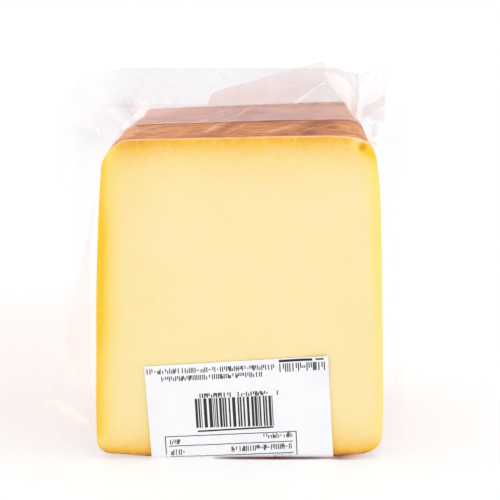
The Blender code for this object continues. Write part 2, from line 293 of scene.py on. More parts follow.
def blockRelief(x, y, z):    # low unevenness of the smoked sides, in metres
    (broadHeight, broadSize), (fineHeight, fineSize) = block["unevenness"]
    broad = noise.noise(Vector((x, y, z)) / broadSize)
    fine = noise.noise(Vector((x + 1, y, z)) / fineSize)
    return (broadHeight * broad + fineHeight * fine) * smoothStep(0.004, 0.014, z)


# The label stands here because the cheese has a painted shade beside it
label = {
    "width": 0.0575,
    "topHeight": 0.0328,
    "under": 0.0255,
    "centreX": -0.0012,
    "turn": math.radians(3.6),
    "lift": 0.00022,            # off the cheese, on the film
    "thickness": 0.00012,
    "inkLift": 0.00003,         # off the paper
    "foldHeight": block["edgeRadius"] + 0.0005,
    "curl": 0.0007,             # at its upper right corner
    "curlSize": 0.010,
    "pixel": 0.0575 / 183,      # one pixel of the photo, on the label
    "stretch": 1.047,           # the photo shortens the label's height a little
    "skew": 0.012,
    "paper": srgb(246, 246, 249),
    "paperCloud": srgb(242, 242, 246),
    "ink": srgb(16, 15, 18),
    "inkWorn": srgb(38, 36, 40),
}

cheese = {
    "cornerSegments": 9,
    "edgeSegments": 4,
    "alongSides": 56,       # cuts along each straight side of the outline
    "acrossWalls": 52,      # cuts from the front face to the rear face
    "faceRings": [0.988, 0.974, 0.958, 0.940, 0.918, 0.89, 0.85, 0.79, 0.70, 0.56, 0.38, 0.18],
    "smokeDepth": {"top": 0.0062, "foot": 0.0052, "left": 0.0135, "corner": 0.0012},
    "smokeFade": 0.0012,        # right under the top edge the smoke is a little less
    # how far the painted shade beside the label reaches
    "labelShadeReach": 0.0022,
    "glowDepth": {"left": 0.0044, "right": 0.0032},
    "glowCorner": (0.0420, 0.1002, 0.0042, 0.0030),    # place in x and z, then reach in x and z
    "spotPlace": (0.0372, 0.1004),                     # one darker spot near the corner
    "smoke": [    # from the middle of a cut face to its smoked edge, also for the painted shade beside the label
        (0.00, srgb(250, 230, 175)), (0.20, srgb(248, 221, 148)), (0.33, srgb(246, 209, 122)),
        (0.50, srgb(244, 193, 66)), (0.66, srgb(226, 161, 44)), (0.90, srgb(166, 94, 33)),
    ],
    "glowLeft": [srgb(248, 220, 118), srgb(247, 200, 16)],       # lemon, then deep yellow at the very edge
    "glowRight": [srgb(248, 228, 132), srgb(247, 222, 110)],
    "spot": srgb(230, 146, 24),
    "fleck": srgb(255, 246, 214),
    "rindLight": srgb(212, 142, 88),
    "rindMid": srgb(182, 107, 60),
    "rindDark": srgb(132, 68, 34),
    # a painted shadow, the dark line under the standing margin
    "rindSeamShadow": srgb(112, 58, 34),
}


def labelShade(x, z):    # painted shade: 1 right beside the label, and less away from it
    turned, dx, dz = label["turn"], x - label["centreX"], label["topHeight"] - z
    across = dx * math.cos(turned) - dz * math.sin(turned)
    down = dz * math.cos(turned) + dx * math.sin(turned)
    outside = max(0.0, abs(across) - label["width"] / 2)
    return fade(outside, cheese["labelShadeReach"]) * smoothStep(0.0, 0.030, down)


def smokeAndShadeAt(x, z):    # how deep the smoke has coloured a cut face, with the painted shade beside the label
    down, up = max(0.0, block["height"] - z), max(0.0, z)
    inside, corner = max(0.0, block["halfWidth"] - abs(x)), max(0.0, cornerDistance(x, z))
    depth = cheese["smokeDepth"]
    smoke = mixNumbers(1.06, 0.95, smoothStep(-0.035, 0.0, x)) * fade(down, depth["top"])
    smoke *= 1 - 0.30 * fade(down, cheese["smokeFade"])
    atCorner = fade(corner, depth["corner"]) * (1 - fade(max(down, inside), 0.003))
    smoke += 1.15 * fade(up, depth["foot"]) + 0.25 * atCorner
    # painted shade beside the label
    smoke += 0.24 * labelShade(x, z)
    fromLeft = max(0.0, block["halfWidth"] + x)
    smoke += mixNumbers(0.0, 0.17, smoothStep(0.015, 0.060, z)) * fade(fromLeft, depth["left"], 2)    # broad
    return min(1.5, smoke)


def glowAt(x, z):    # how yellow a cut face shines near its sides
    edge, depth = sideDistance(x, z), cheese["glowDepth"]
    if x < 0:    # strongest at mid height
        glow = 1.35 * fade(edge, depth["left"], 1.3)
        glow *= mixNumbers(0.72, 1.0, smoothStep(0.030, 0.050, z)) * mixNumbers(1.0, 0.66, smoothStep(0.072, 0.088, z))
    else:
        glow = 0.85 * fade(edge, depth["right"], 1.2) * mixNumbers(0.60, 1.0, smoothStep(0.030, 0.075, z))
    cornerX, cornerZ, reachX, reachZ = cheese["glowCorner"]
    glow += 0.75 * fade(x - cornerX, reachX, 2) * fade(z - cornerZ, reachZ, 2)    # a deep yellow corner round the spot
    return glow * smoothStep(0.0005, 0.0090, z)


def paintCheese(piece):
    height, halfD = block["height"], block["depth"] / 2
    smoke, glow, rind = paintLayers(piece, "smoke", "glow", "rind")
    for vert in piece.data.vertices:
        x, y, z = vert.co
        smoke[vert.index].value = smokeAndShadeAt(x, z)
        glow[vert.index].value = glowAt(x, z)
        onTop = smoothStep(height - 0.004, height - 0.001, z)
        start = mixNumbers(halfD - block["edgeRadius"], halfD - 0.0010, onTop)
        rind[vert.index].value = 1 - smoothStep(start - mixNumbers(0.0012, 0.0004, onTop), start, abs(y))


def makeBlock(name, skin, paint=None):
    # a box with rounded long corners and softened cut faces, painted, then drawn to the block's true shape
    halfW, height, halfD = block["halfWidth"], block["height"], block["depth"] / 2
    deselectAll()
    bpy.ops.mesh.primitive_cube_add(size=1, location=(0, 0, height / 2))
    piece = bpy.context.object
    piece.name = name
    piece.scale = (2 * halfW, 2 * halfD, height)
    bpy.ops.object.transform_apply(location=True, rotation=False, scale=True)
    bpy.ops.object.mode_set(mode="EDIT")
    near = 1e-5
    for (sign, top), radius in block["corners"].items():
        cornerX, cornerZ = sign * halfW, height * top
        selectEdges(piece, lambda *ends: all(abs(p.x - cornerX) < near and abs(p.z - cornerZ) < near for p in ends))
        bpy.ops.mesh.bevel(offset=radius, segments=cheese["cornerSegments"], profile=0.5, affect="EDGES")
    selectEdges(piece, lambda a, b: abs(a.y - b.y) < near and (a - b).length > 0.02)
    bpy.ops.mesh.subdivide(number_cuts=cheese["alongSides"])
    selectEdges(piece, lambda a, b: abs(abs(a.y) - halfD) < near and abs(a.y - b.y) < near)
    bpy.ops.mesh.bevel(offset=block["edgeRadius"], segments=cheese["edgeSegments"], profile=0.5, affect="EDGES")
    selectEdges(piece, lambda a, b: abs(a.y - b.y) > halfD)
    bpy.ops.mesh.subdivide(number_cuts=cheese["acrossWalls"])
    for side in (-1, 1):
        reached = 1.0
        selectFaces(piece, lambda centre, normal: normal.y * side > 0.99 and centre.y * side > halfD - near)
        for ring in cheese["faceRings"]:
            bpy.ops.mesh.extrude_region_move(TRANSFORM_OT_translate={"value": (0, 0, 0)})
            bpy.ops.transform.resize(value=(ring / reached, 1, ring / reached),
                                     center_override=(0, side * halfD, height / 2))
            reached = ring
        bpy.ops.mesh.poke()
    bpy.ops.object.mode_set(mode="OBJECT")

    if paint:
        paint(piece)

    def trueShape(p):
        x, y, z = p
        inside = max(0.0, cornerDistance(x, z))
        onFace = smoothStep(halfD - 0.0004, halfD - 0.0001, abs(y))
        y += math.copysign(crownAt(inside) * onFace, y)
        lift = block["underside"] * (1 - smoothStep(0.0, 0.012, z))
        x *= sideReach(z, -1 if x < 0 else 1) / halfW
        return settle(x, y, z + lift)

    moveVerts(piece, trueShape)
    normals = [vert.normal.copy() for vert in piece.data.vertices]
    for vert, normal in zip(piece.data.vertices, normals):
        x, y, z = vert.co
        onWall = 1 - smoothStep(halfD - 0.0030, halfD - 0.0006, abs(y))
        vert.co += normal * (skin + blockRelief(x, y, z) * onWall)
    piece.data.update()
    return piece


def cheeseMaterial():
    b = Board("smokedCheddar")
    x, y, z = b.axes("XYZ")
    smoke, glow, onWall = b.layers("smoke", "glow", "rind")
    cloud = b.noise(0.022, 4, 0.5)
    grain = b.noise(0.0024, 5, 0.6)
    fleck = b.noise(0.0007, 2, 0.5)
    spots = b.noise(0.0020, 3, 0.6)
    spread = (smoke * (0.82 + spots * 0.36) + (cloud - 0.5) * 0.36 + (grain - 0.5) * 0.08) / 1.5
    face = b.node("ShaderNodeValToRGB", {"stops": cheese["smoke"]}, {0: spread})
    onRight = x.between(-0.01, 0.01) * z.between(0.090, 0.099, 1.0, 0.0)
    lemon, deep = [b.mixColour(onRight, *pair) for pair in zip(cheese["glowLeft"], cheese["glowRight"])]
    face = b.mixColour((glow * 1.7).between(0.0, 1.0), face, lemon)
    face = b.mixColour(glow.between(0.40, 1.0), face, deep)
    face = b.mixColour((fleck - 0.5).between(-0.12, 0.16, 0.0, 0.10), face, cheese["fleck"])
    spotX, spotZ = cheese["spotPlace"]
    fromSpot = ((x - spotX) ** 2 + (z - spotZ) ** 2) ** 0.5
    atFront = y.between(-0.034, -0.030, 1.0, 0.0)
    face = b.mixColour(fromSpot.between(0.0003, 0.0019, 0.85, 0.0) * atFront, face, cheese["spot"])
    patch = b.noise(0.013, 6, 0.62, 0.6)
    streak = b.noise(0.0024, 6, 0.68, 0.4, (0.32, 1, 0.32))
    darkPlace = abs(x - 0.0255).between(0.003, 0.010, 1.0, 0.0) * y.between(-0.010, -0.005, 1.0, 0.0)
    towardsSides = abs(x - 0.008).between(0.014, 0.036, 0.0, 0.060)    # the rind is lighter there
    rind = b.node("ShaderNodeValToRGB", {"stops": [
        (0.38, cheese["rindDark"]), (0.48, cheese["rindMid"]), (0.58, cheese["rindLight"]),
    ]}, {0: patch * 0.40 + streak * 0.60 + towardsSides - darkPlace * 0.06})
    sway = b.noise(0.020, 3, 0.6)    # painted shadow: the dark line under the standing margin
    seam = abs(y + (sway - 0.5) * 0.0030 + 0.0042).between(0.0004, 0.0010, 1.0, 0.0)
    rind = b.mixColour(seam * z.between(0.098, 0.100, 0.0, 0.8), rind, cheese["rindSeamShadow"])
    colour = b.mixColour(onWall, face, rind)
    height = patch * 0.4 + streak * 0.5 + grain * 0.15
    normal = b.bump(height * onWall + fleck * 0.05, 0.55, 0.0006)
    skin = b.node("ShaderNodeBsdfPrincipled", None, {
        "Base Color": colour, "Roughness": onWall.between(0, 1, 0.42, 0.60), "Normal": normal,
        "Subsurface Weight": 0.18, "Subsurface Radius": (0.0032, 0.0020, 0.0009), "Subsurface Scale": 1.0,
        "IOR": 1.42, "Specular IOR Level": 0.12,
    })
    return b.finish(skin)


cheesePiece = makeBlock("cheese", 0.0, paintCheese)
finishPiece(cheesePiece, cheeseMaterial())
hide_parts("vacuum_bag")
print("cheese made:", len(cheesePiece.data.vertices), "vertices")


film = {
    "skin": 0.00016,            # the film lies this far off the cheese
    "thickness": 0.00022,
    "marginDepth": 0.0012,
    "tentHalfWidth": 0.0004,
    "tentLength": 0.0006,
    "columns": {"left": 120, "earLeft": 90, "top": 110, "earRight": 90, "right": 110},
    "rings": 30,
    "wave": (0.0032, 0.024),    # depth and size
    "ears": [(-0.047, 0.106, 0.022), (0.046, 0.106, 0.020)],    # x, z and reach of the folded top corners
    "earCore": 0.006,
    "earFoot": 0.095,
    "earPleats": 3.0,
    "earPleatDepth": 0.0030,
    "crumples": [    # size, depth away from the ears, depth at the ears, seed
        (0.0180, 0.0008, 0.0020, 3), (0.0090, 0.00020, 0.0008, 11), (0.0042, 0.00003, 0.00010, 23),
    ],
    "bend": (0.0008, 0.0040),   # how far and in what size the patches below are bent
    "facets": {"ear": (0.0034, 77), "blush": (0.0085, 33), "lip": (0.011, 51)},    # size and seed of uneven tones
    "haze": {"all": 0.04, "panel": 0.20, "besideEar": 0.22, "rindLeft": 0.31, "rindRight": 0.13, "low": 0.025},
    "lipRoot": 0.1074,          # the height where the second ply leaves the margin
    "lipRootLeft": -0.0108,
    "lipRootRight": 0.0368,
    "lipColumns": 90,
    "lipRows": 34,
    "lipGap": 0.0013,
    "lipLean": 0.0068,
    "lipRise": 0.019,           # its root slopes up to the right, as the top does
    "lipFolds": [(0.0008, 0.013, 41), (0.00025, 0.005, 43)],    # depth, size, seed
    "tint": (0.995, 0.991, 0.995, 1.0),
    "floorGap": 0.00015,        # nothing of the film is lower than this
}
filmTones = ("gleam", "blush", "veil")    # painted highlight where it catches the light; painted reflection of the cheese, and on folds painted shade; haze

# Each finish: how strong its edges shine, and its colours. The veil's are in general, over the rind and near the floor,
# the painted reflection and shade colours are high up and low down; lift is a painted glow, emission for light from
# behind
filmFinishes = {
    "clearFilm": {
        "base": 1.0, "edgeIndex": 1.14, "edgeGain": 0.22, "wrinkle": 0.35, "lift": 0.0,
        "reflectionAndShadeGain": 0.70, "shine": 0.15,
        "veil": 3 * [srgb(255, 216, 184)], "blush": 2 * [srgb(116, 54, 26)], "gleam": srgb(255, 216, 170),
    },
    "pleatFilm": {
        "base": 0.3, "edgeIndex": 1.14, "edgeGain": 0.10, "wrinkle": 0.20, "lift": 0.22,
        "reflectionAndShadeGain": 0.70, "shine": 0.0,
        "veil": 3 * [srgb(238, 186, 160)], "blush": [srgb(122, 66, 42), srgb(98, 62, 58)], "gleam": srgb(255, 214, 176),
    },
    "marginFilm": {
        "base": 0.03, "edgeIndex": 1.40, "edgeGain": 0.5, "wrinkle": 0.25, "lift": 0.34,
        "reflectionAndShadeGain": 0.45, "shine": 0.6,
        "veil": [srgb(220, 221, 227), srgb(238, 230, 244), srgb(252, 232, 222)],
        "blush": [srgb(208, 154, 146), srgb(255, 180, 126)], "gleam": srgb(255, 254, 255),
    },
    "lipFilm": {
        "base": 0.05, "edgeIndex": 1.40, "edgeGain": 0.5, "wrinkle": 0.25, "lift": 0.34,
        "reflectionAndShadeGain": 0.45, "shine": 0.6,
        "veil": 3 * [srgb(230, 228, 231)], "blush": 2 * [srgb(236, 180, 156)], "gleam": srgb(255, 254, 255),
    },
}

# Painted highlights where folds catch the light, and painted reflections where they mirror the rind: strength, then the
# corners of the patch as x and z
filmPatches = {
    "gleam": [
        (0.85, [(27.5, 119.4), (31.3, 118.1), (35.2, 114.9), (37.6, 109.8), (39.6, 103.3), (37.3, 103.6),
                (33.7, 108.5), (29.5, 114.3)]),
        (0.70, [(37.5, 113.7), (42.2, 118.8), (46.0, 119.7), (45.9, 112.4), (40.5, 107.8), (38.6, 105.9)]),
        (0.15, [(50.6, 18.9), (55.3, 18.9), (55.3, 15.4), (51.0, 15.4)]),
        (0.26, [(-69.0, 1.8), (-64.0, 4.6), (-57.0, 5.6), (-49.0, 6.6), (-49.0, 5.4), (-57.0, 4.2), (-64.0, 3.0),
                (-69.0, 0.6)]),
        (1.00, [(-31.1, 111.1), (-29.1, 108.5), (-29.3, 106.6), (-30.8, 104.4), (-33.8, 102.2), (-36.8, 100.3),
                (-38.7, 101.0), (-36.1, 104.0), (-33.5, 105.9), (-32.1, 108.5)]),
        (0.28, [(-17.2, 101.8), (-10.7, 104.2), (-5.2, 106.2), (-1.2, 107.6), (0.4, 107.2), (-4.2, 105.2),
                (-9.7, 103.2), (-14.7, 101.4)]),
        (0.26, [(-8.2, 102.2), (-4.8, 104.0), (-1.8, 105.4), (-1.2, 104.8), (-4.0, 103.4), (-6.8, 101.8)]),
        (0.85, [(-33.4, 110.8), (-32.7, 111.1), (-30.9, 107.5), (-31.5, 107.2)]),
        (0.85, [(-47.1, 100.4), (-45.2, 100.4), (-44.9, 98.1), (-46.9, 98.1)]),
        (0.80, [(39.6, 103.3), (41.2, 103.0), (43.0, 96.0), (41.5, 95.5)]),
    ],
    "blush": [
        (0.62, [(-22.5, 101.6), (-16.0, 103.6), (-10.5, 105.6), (-6.5, 107.0), (-6.0, 106.3), (-10.5, 104.6),
                (-15.5, 102.8), (-21.0, 101.0)]),
        (0.24, [(28.1, 121.7), (31.3, 120.6), (35.2, 117.4), (37.2, 113.0), (37.6, 109.8), (35.9, 113.0),
                (33.0, 117.2), (28.8, 119.4)]),
        (0.50, [(36.8, 118.1), (37.4, 118.1), (38.1, 107.2), (37.6, 107.2)]),
        (0.62, [(39.2, 107.2), (41.1, 110.8), (45.8, 113.0), (46.3, 107.8), (42.5, 105.9), (39.6, 104.3)]),
        (0.90, [(39.6, 104.0), (39.6, 104.6), (44.4, 107.2), (44.4, 106.6)]),
        (0.52, [(40.2, 105.3), (46.3, 107.2), (46.4, 102.7), (42.5, 102.7)]),
        (0.55, [(41.3, 100.7), (44.1, 102.7), (44.5, 98.7), (42.6, 96.8)]),
        (0.14, [(35.1, 120.4), (43.5, 119.7), (43.5, 118.1), (35.8, 118.5)]),
        (0.04, [(46.8, 98.5), (54.2, 98.5), (54.5, 86.8), (47.0, 86.8)]),
        (0.20, [(-45.9, 110.8), (-37.9, 111.4), (-36.4, 106.6), (-45.1, 105.9)]),
        (0.32, [(-38.2, 110.1), (-34.4, 110.8), (-33.2, 105.9), (-37.4, 104.6)]),
        (0.22, [(-47.4, 104.0), (-43.2, 104.0), (-43.3, 98.4), (-47.5, 98.1)]),
        (0.60, [(-35.4, 105.9), (-32.8, 105.9), (-33.2, 103.6), (-35.8, 103.6)]),
        (0.34, [(-46.7, 80.3), (-49.6, 66.9), (-52.9, 56.7), (-55.9, 43.0), (-57.8, 36.1), (-58.4, 25.6),
                (-57.2, 20.3), (-54.7, 13.3), (-50.9, 4.3), (-49.5, 32.6), (-49.9, 56.7)]),
        (0.10, [(-35.8, 118.8), (-28.8, 118.8), (-28.9, 111.4), (-34.7, 111.4)]),
        (0.12, [(-34.0, 124.0), (33.0, 124.0), (37.0, 98.0), (-34.0, 98.0)]),
    ],
}

# The margin's free edge: place on the outline, then its x and z, and its y and its root's y where they leave the seam
marginGuides = [
    ("left", 0.00, -47.8, 0.6, -28.5, -24.0), ("left", 0.035, -58.0, 0.6, -23.5, -17.0),
    ("left", 0.09, -68.8, 1.2, 12.0, -9.0), ("left", 0.20, -63.8, 13.7, 4.0, -4.0),
    ("left", 0.30, -59.4, 23.6, 0.0, -2.0), ("left", 0.42, -58.5, 34.7), ("left", 0.62, -58.2, 55.4),
    ("left", 0.85, -57.6, 75.6), ("earLeft", 0.00, -57.7, 92.2), ("earLeft", 0.16, -58.1, 98.8),
    ("earLeft", 0.32, -57.3, 105.9), ("earLeft", 0.47, -55.2, 111.7), ("earLeft", 0.62, -51.2, 116.2),
    ("earLeft", 0.85, -45.4, 118.2), ("top", 0.03, -37.7, 120.0), ("top", 0.33, -12.8, 119.8),
    ("top", 0.90, 30.0, 120.2), ("earRight", 0.08, 35.0, 118.5), ("earRight", 0.24, 38.5, 118.3),
    ("earRight", 0.47, 46.0, 120.3), ("earRight", 0.70, 47.8, 108.5), ("earRight", 0.85, 52.1, 105.9),
    ("right", 0.00, 53.9, 97.1), ("right", 0.10, 53.5, 87.3), ("right", 0.18, 50.7, 81.6),
    ("right", 0.33, 49.4, 68.9), ("right", 0.48, 51.7, 54.7), ("right", 0.58, 52.6, 45.1),
    ("right", 0.74, 51.6, 31.2), ("right", 0.88, 53.9, 18.9, -3.0, -2.0), ("right", 0.96, 55.0, 6.2, -11.0, -6.0),
    ("right", 1.00, 53.0, 1.0, -21.0, -15.0),
]

# The rear lip's free edge: share of the way along its root, then x and z
lipGuides = [
    (0.00, -11.4, 106.1), (0.07, -8.8, 111.5), (0.13, -5.9, 112.4),
    (0.78, 26.6, 121.3), (0.90, 31.8, 113.0), (1.00, 36.2, 105.0),
]
outlineSides = list(film["columns"])


def outlinePoint(side, share):    # x, z and the outward angle at a place on the block's outline
    radii, height = block["corners"], block["height"]

    def centre(sign):
        radius = radii[(sign, 1)]
        return sign * (sideReach(height - radius, sign) - radius), height - radius, radius

    (xl, zl, rl), (xr, zr, rr) = centre(-1), centre(1)
    if side == "left":
        z = mixNumbers(radii[(-1, 0)], zl, share)
        return -sideReach(z, -1), z, math.pi
    if side == "earLeft":
        angle = math.pi * (1 - share / 2)
        return xl + rl * math.cos(angle), zl + rl * math.sin(angle), angle
    if side == "top":
        return mixNumbers(xl, xr, share), height, math.pi / 2
    if side == "earRight":
        angle = math.pi / 2 * (1 - share)
        return xr + rr * math.cos(angle), zr + rr * math.sin(angle), angle
    z = mixNumbers(zr, radii[(1, 0)], share)
    return sideReach(z, 1), z, 0.0


def guided(guides, position):    # values between those of the nearest guides
    for (low, *first), (high, *second) in zip(guides, guides[1:]):
        if position <= high:
            share = max(0.0, (position - low) / (high - low))
            return [mixNumbers(a, b, share) * mm for a, b in zip(first, second)]
    return [value * mm for value in guides[-1][1:]]


def zigzag(turns):
    t = (turns + 0.25) % 1.0
    return 4 * t - 1 if t < 0.5 else 3 - 4 * t


def cornerHeight(i, j, seed):
    return noise.noise(Vector((i * 7.31 + seed, j * 5.17 - seed, seed * 0.37 + 0.5))) * 1.6


def facetCell(u, v, size, seed):    # stiff film crumples into triangles: which one, and where in it
    u += 0.45 * size * noise.noise(Vector((u, v, seed)) / (size * 1.7))
    v += 0.45 * size * noise.noise(Vector((v, u, seed + 9)) / (size * 1.7))
    u, v = u / size, v / size
    skew = (u + v) * 0.366
    a, b = u + skew, v + skew
    i, j = math.floor(a), math.floor(b)
    return i, j, a - i, b - j


def facetNoise(u, v, size, seed):    # heights of flat triangles that meet in sharp creases
    i, j, a, b = facetCell(u, v, size, seed)
    base, far = cornerHeight(i, j, seed), cornerHeight(i + 1, j + 1, seed)
    if a > b:
        middle = cornerHeight(i + 1, j, seed)
        return base * (1 - a) + middle * (a - b) + far * b
    middle = cornerHeight(i, j + 1, seed)
    return base * (1 - b) + middle * (b - a) + far * a


def facetTone(u, v, size, seed):    # one random number from 0 to 1 for each of those triangles
    i, j, a, b = facetCell(u, v, size, seed)
    return noise.cell(Vector((i + 0.5, j + 0.5, seed + (3.5 if a > b else 0.5))))


def patchDepth(x, z, corners):    # distance inside a patch, negative outside
    inside, nearest = False, 1.0
    for (ax, az), (bx, bz) in zip(corners, corners[1:] + corners[:1]):
        if (az > z) != (bz > z) and x < ax + (bx - ax) * (z - az) / (bz - az):
            inside = not inside
        spanX, spanZ = bx - ax, bz - az
        t = min(1.0, max(0.0, ((x - ax) * spanX + (z - az) * spanZ) / (spanX ** 2 + spanZ ** 2)))
        nearest = min(nearest, math.hypot(x - ax - spanX * t, z - az - spanZ * t))
    return nearest if inside else -nearest


def nearEars(x, z):
    return max(smoothStep(reach, film["earCore"], math.hypot(x - earX, z - earZ))
               for earX, earZ, reach in film["ears"])


def patchTone(x, z, kind):    # the strongest patch of this kind here
    depth, size = film["bend"]
    bentX = x + depth * facetNoise(x, z, size, 5)
    bentZ = z + depth * facetNoise(x, z, size, 6)
    leftEar = z > film["earFoot"] and x < 0
    tone = 0.0
    for strength, corners in filmPatches[kind]:
        corners = [(cornerX * mm, cornerZ * mm) for cornerX, cornerZ in corners]
        (lowX, highX), (lowZ, highZ) = [(min(side) - mm, max(side) + mm) for side in zip(*corners)]
        if lowX < bentX < highX and lowZ < bentZ < highZ:
            amount = strength * smoothStep(-0.0005, 0.0006, patchDepth(bentX, bentZ, corners))
            uneven = mixNumbers(0.60, 1.10, facetTone(x, z, *film["facets"]["ear"])) if leftEar else 1.0
            tone = max(tone, amount * uneven)
    return tone


def marginTones(point, reach):
    x, z = point.x, point.z
    haze = film["haze"]
    outside = smoothStep(-0.051, -0.055, x) * smoothStep(0.030, 0.050, z)    # hardly seen beyond the left fold
    seal = smoothStep(0.955, 0.99, reach)
    rightFoot = smoothStep(0.024, 0.031, x)

    gleam = patchTone(x, z, "gleam")
    speckled = smoothStep(0.55, 0.9, facetTone(x, z, *film["facets"]["blush"]))
    # painted reflection of the rind, in patches and in specks near the ears
    blush = max(patchTone(x, z, "blush"), 0.10 * nearEars(x, z) * speckled)
    blush = blush * (1 - gleam) + 0.02 * seal
    patchy = 0.5 * noise.noise(Vector((x / 0.009, 3.0, 7.0)))    # painted highlight: the bright line where it leaves the block
    atFoot = fade(max(reach, 0.0), 0.026, 2) * smoothStep(0.095, 0.101, z)
    gleam = max(gleam, atFoot * max(0.0, mixNumbers(0.0, 0.20, rightFoot) + patchy))

    veil = haze["all"] * (1 - 0.8 * outside) + 0.04 * seal * (1 - outside)
    veil += haze["panel"] * smoothStep(-0.046, -0.037, x) * smoothStep(0.044, 0.034, x) * smoothStep(0.088, 0.108, z)
    veil += haze["besideEar"] * fade(x + 0.0465, 0.0080, 2) * fade(z - 0.1005, 0.0070, 2)
    veil += haze["low"] * smoothStep(-0.046, -0.049, x) * (1 - outside)
    veil -= 0.02 * smoothStep(0.045, 0.049, x) * smoothStep(0.095, 0.080, z)
    overRind = fade(z - 0.1060, 0.0050, 2) * smoothStep(0.045, 0.035, abs(x)) * smoothStep(0.1088, 0.1076, z)
    veil += mixNumbers(haze["rindLeft"], haze["rindRight"], smoothStep(-0.020, 0.032, x)) * overRind
    return gleam, blush, veil


def marginWave(point, reach):
    depth, size = film["wave"]
    return depth * reach * smoothStep(0.004, 0.020, point.z) * noise.noise(Vector((point.x, 0.3, point.z)) / size)


def crumple(point, reach, nearEar):    # sharp folds of the margin, strongest round the top corners
    depth = sum(facetNoise(point.x, point.z, size, seed) * mixNumbers(plain, atEar, nearEar)
                for size, plain, atEar, seed in film["crumples"])
    return depth * smoothStep(0.0, 0.35, reach) * smoothStep(0.002, 0.012, point.z)


def closedSheet(name, rows, halfThickness, tonesAt):
    # two grids, one for each face of the sheet, bridged all round
    rowCount, columnCount = len(rows), len(rows[0])
    faces = []
    for side in (1, -1):
        deselectAll()
        bpy.ops.mesh.primitive_grid_add(x_subdivisions=columnCount - 1, y_subdivisions=rowCount - 1, size=1)
        sheet = bpy.context.object
        layers = paintLayers(sheet, *filmTones)
        for vert in sheet.data.vertices:
            c = round((vert.co.x + 0.5) * (columnCount - 1))
            r = round((vert.co.y + 0.5) * (rowCount - 1))
            along = rows[r][min(c + 1, columnCount - 1)] - rows[r][max(c - 1, 0)]
            across = rows[min(r + 1, rowCount - 1)][c] - rows[max(r - 1, 0)][c]
            normal = along.cross(across).normalized()
            half = halfThickness(r, c)
            for layer, amount in zip(layers, tonesAt(rows[r][c], r)):
                layer[vert.index].value = amount
            towards = Vector((0, 1, 0)) if normal.y > 0 else Vector((0, -1, 0))
            normal = normal.lerp(towards, 1 - min(1.0, film["thickness"] / 2 / half)).normalized()
            vert.co = rows[r][c] + normal * half * side
            vert.co.z = max(vert.co.z, film["floorGap"] * (1 if side * normal.z < 0 else 2))
        faces.append(sheet)
    sheet = joinPieces(faces, name)
    bpy.ops.object.mode_set(mode="EDIT")
    bpy.ops.mesh.select_mode(type="EDGE")
    bpy.ops.mesh.select_all(action="DESELECT")
    bpy.ops.mesh.select_non_manifold()
    bpy.ops.mesh.bridge_edge_loops()
    bpy.ops.object.mode_set(mode="OBJECT")
    outwardFaces(sheet)
    return sheet


def makeMargin():
    seam = [block["seamY"] / mm] * 2
    guides = [(outlineSides.index(side) + share, *(values + seam)[:4]) for side, share, *values in marginGuides]
    reaches = [-1.0, -0.5] + [(i / film["rings"]) ** 1.25 for i in range(film["rings"] + 1)]
    rows = [[] for _ in reaches]
    for side in outlineSides:
        count = film["columns"][side]
        for i in range(count + (side == "right")):
            share = i / count
            x, z, angle = outlinePoint(side, share)
            edgeX, edgeZ, edgeY, rootY = guided(guides, outlineSides.index(side) + share)
            root, edge = settle(x, rootY, z), Vector((edgeX, edgeY, edgeZ))
            inward = -Vector((math.cos(angle), 0.0, math.sin(angle)))
            ear = {
                "left": smoothStep(0.72, 1.0, share), "earLeft": 1.0, "right": smoothStep(0.30, 0.0, share),
                "top": max(1 - share / 0.22, (share - 0.80) / 0.2, 0), "earRight": 1.0,
            }[side]
            for row, reach in zip(rows, reaches):
                if reach < 0:
                    row.append(root - inward * reach * film["marginDepth"])
                    continue
                point = root.lerp(edge, reach)
                offset = marginWave(point, reach) + crumple(point, reach, ear)
                if side.startswith("ear"):
                    arch = math.sin(math.pi * share) ** 0.6
                    offset += film["earPleatDepth"] * zigzag(film["earPleats"] * share) * arch * (0.12 + 0.88 * reach)
                point.y += offset
                row.append(point)

    def halfThickness(r, c):
        distance = 0 if reaches[r] < 0 else (rows[r][c] - rows[2][c]).length
        return film["thickness"] / 2 + film["tentHalfWidth"] * fade(distance, film["tentLength"])

    return closedSheet("film_margin", rows, halfThickness, lambda point, r: marginTones(point, reaches[r]))


def lipTones(point, row):    # painted reflection: the lip mirrors the rind all over, a little less above its crease; a painted highlight along the crease
    x, z = point.x, point.z
    overCrease, atRight = (z - 0.1090) - (x - 0.0185) * 0.68, smoothStep(0.012, 0.020, x)
    crease = fade(overCrease, 0.0006, 2) * smoothStep(0.014, 0.020, x)
    below = 1 - smoothStep(-0.0006, 0.0006, overCrease)
    tone = 0.92 - 0.22 * below * atRight - 0.40 * smoothStep(0.110, 0.121, z)
    clear = smoothStep(film["lipRoot"], film["lipRoot"] + 0.0008, z - film["lipRise"] * x)    # fades in at its foot
    uneven = 0.88 + 0.10 * facetTone(x, z, *film["facets"]["lip"])
    return 0.60 * crease * clear, clear * tone * uneven, 0.06 * clear


def lipPoint(share, up):
    topX, topZ = guided(lipGuides, share)
    rootX = mixNumbers(film["lipRootLeft"], film["lipRootRight"], share)
    root = Vector((rootX, block["seamY"], film["lipRoot"] + film["lipRise"] * rootX))
    point = root.lerp(Vector((topX, block["seamY"], topZ)), up)
    reach = (point.z - block["height"]) / 0.0165
    point.y += marginWave(point, reach) + crumple(point, reach, 0.0) + film["thickness"] * 1.5
    lean = 0.8 + 0.2 * math.cos(2 * math.pi * share * 1.6)
    lean *= smoothStep(-0.1, 0.25, share) * smoothStep(-0.1, 0.3, 1 - share)
    point.y += film["lipGap"] * smoothStep(0.0, 0.3, up) + film["lipLean"] * up ** 1.3 * lean
    x, z = point.x, point.z
    point.y += up * sum(depth * facetNoise(x, z, size, seed) for depth, size, seed in film["lipFolds"])
    return point


def makeLip():
    columns, rows = film["lipColumns"], film["lipRows"]
    points = [[lipPoint(column / columns, row / rows) for column in range(columns + 1)] for row in range(rows + 1)]
    return closedSheet("film_lip", points, lambda r, c: film["thickness"] / 2, lipTones)


